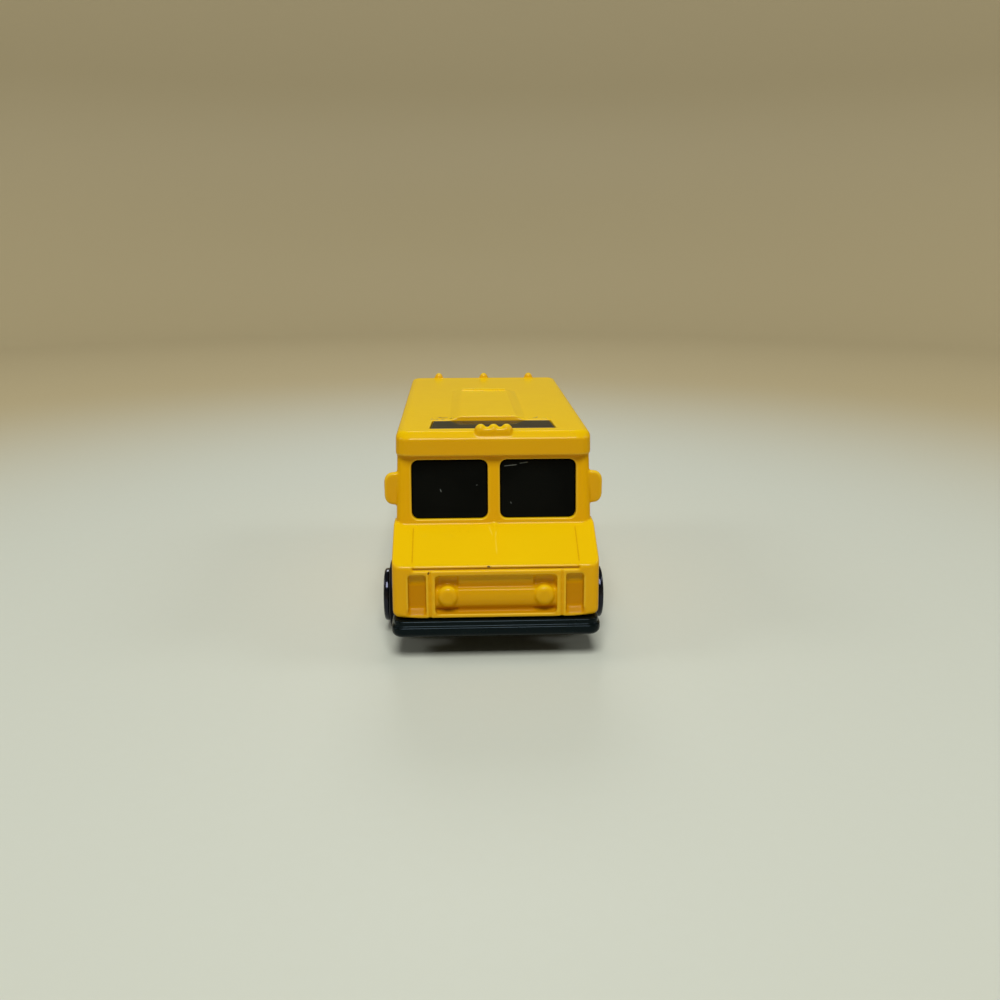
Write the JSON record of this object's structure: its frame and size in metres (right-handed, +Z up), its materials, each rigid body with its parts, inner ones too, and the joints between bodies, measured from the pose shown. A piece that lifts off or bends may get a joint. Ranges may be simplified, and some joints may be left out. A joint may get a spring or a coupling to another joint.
{
  "type": "toy truck",
  "caption": "Small die-cast toy step van with a yellow cast body, dark glazing, a black base with bumpers, and glossy black wheels that roll freely on loose steel axles.",
  "frame": {"origin": "On the ground under the middle of the truck's bounding box.", "axes": "+Z up; the truck faces -Y; +X is the driver's left, which is the right of the picture."},
  "size_m": [0.0324, 0.065, 0.0314],
  "materials": {
    "yellow_paint": "thick glossy enamel on a zinc casting",
    "smoke_glazing": "near-black glossy glazing",
    "black_plastic": "glossy moulded plastic",
    "tyre_plastic": "satin moulded plastic",
    "wheel_gloss": "glossy moulded plastic",
    "bright_steel": "drawn wire and spun rivet"
  },
  "bodies": {
    "truck": {"body_shell": "yellow_paint", "window_glazing": "smoke_glazing", "chassis_base": "black_plastic", "interior_floor": "black_plastic", "rivet_front": "bright_steel", "rivet_rear": "bright_steel"},
    "front_axle": {"axle_front": "bright_steel"},
    "wheel_front_left": {"tyre_front_left": "tyre_plastic", "hub_front_left": "wheel_gloss"},
    "wheel_front_right": {"tyre_front_right": "tyre_plastic", "hub_front_right": "wheel_gloss"},
    "rear_axle": {"axle_rear": "bright_steel"},
    "wheel_rear_left": {"tyre_rear_left": "tyre_plastic", "hub_rear_left": "wheel_gloss"},
    "wheel_rear_right": {"tyre_rear_right": "tyre_plastic", "hub_rear_right": "wheel_gloss"}
  },
  "joints": [
    {"name": "front_axle_spin", "type": "hinge", "parent": "truck", "child": "front_axle", "pos_m": [0, -0.0195, 0.00515], "axis": [1, 0, 0], "continuous": true},
    {"name": "wheel_front_left_spin", "type": "hinge", "parent": "front_axle", "child": "wheel_front_left", "pos_m": [0, -0.0195, 0.00515], "axis": [1, 0, 0], "continuous": true},
    {"name": "wheel_front_right_spin", "type": "hinge", "parent": "front_axle", "child": "wheel_front_right", "pos_m": [0, -0.0195, 0.00515], "axis": [1, 0, 0], "continuous": true},
    {"name": "rear_axle_spin", "type": "hinge", "parent": "truck", "child": "rear_axle", "pos_m": [0, 0.017, 0.00515], "axis": [1, 0, 0], "continuous": true},
    {"name": "wheel_rear_left_spin", "type": "hinge", "parent": "rear_axle", "child": "wheel_rear_left", "pos_m": [0, 0.017, 0.00515], "axis": [1, 0, 0], "continuous": true},
    {"name": "wheel_rear_right_spin", "type": "hinge", "parent": "rear_axle", "child": "wheel_rear_right", "pos_m": [0, 0.017, 0.00515], "axis": [1, 0, 0], "continuous": true}
  ]
}
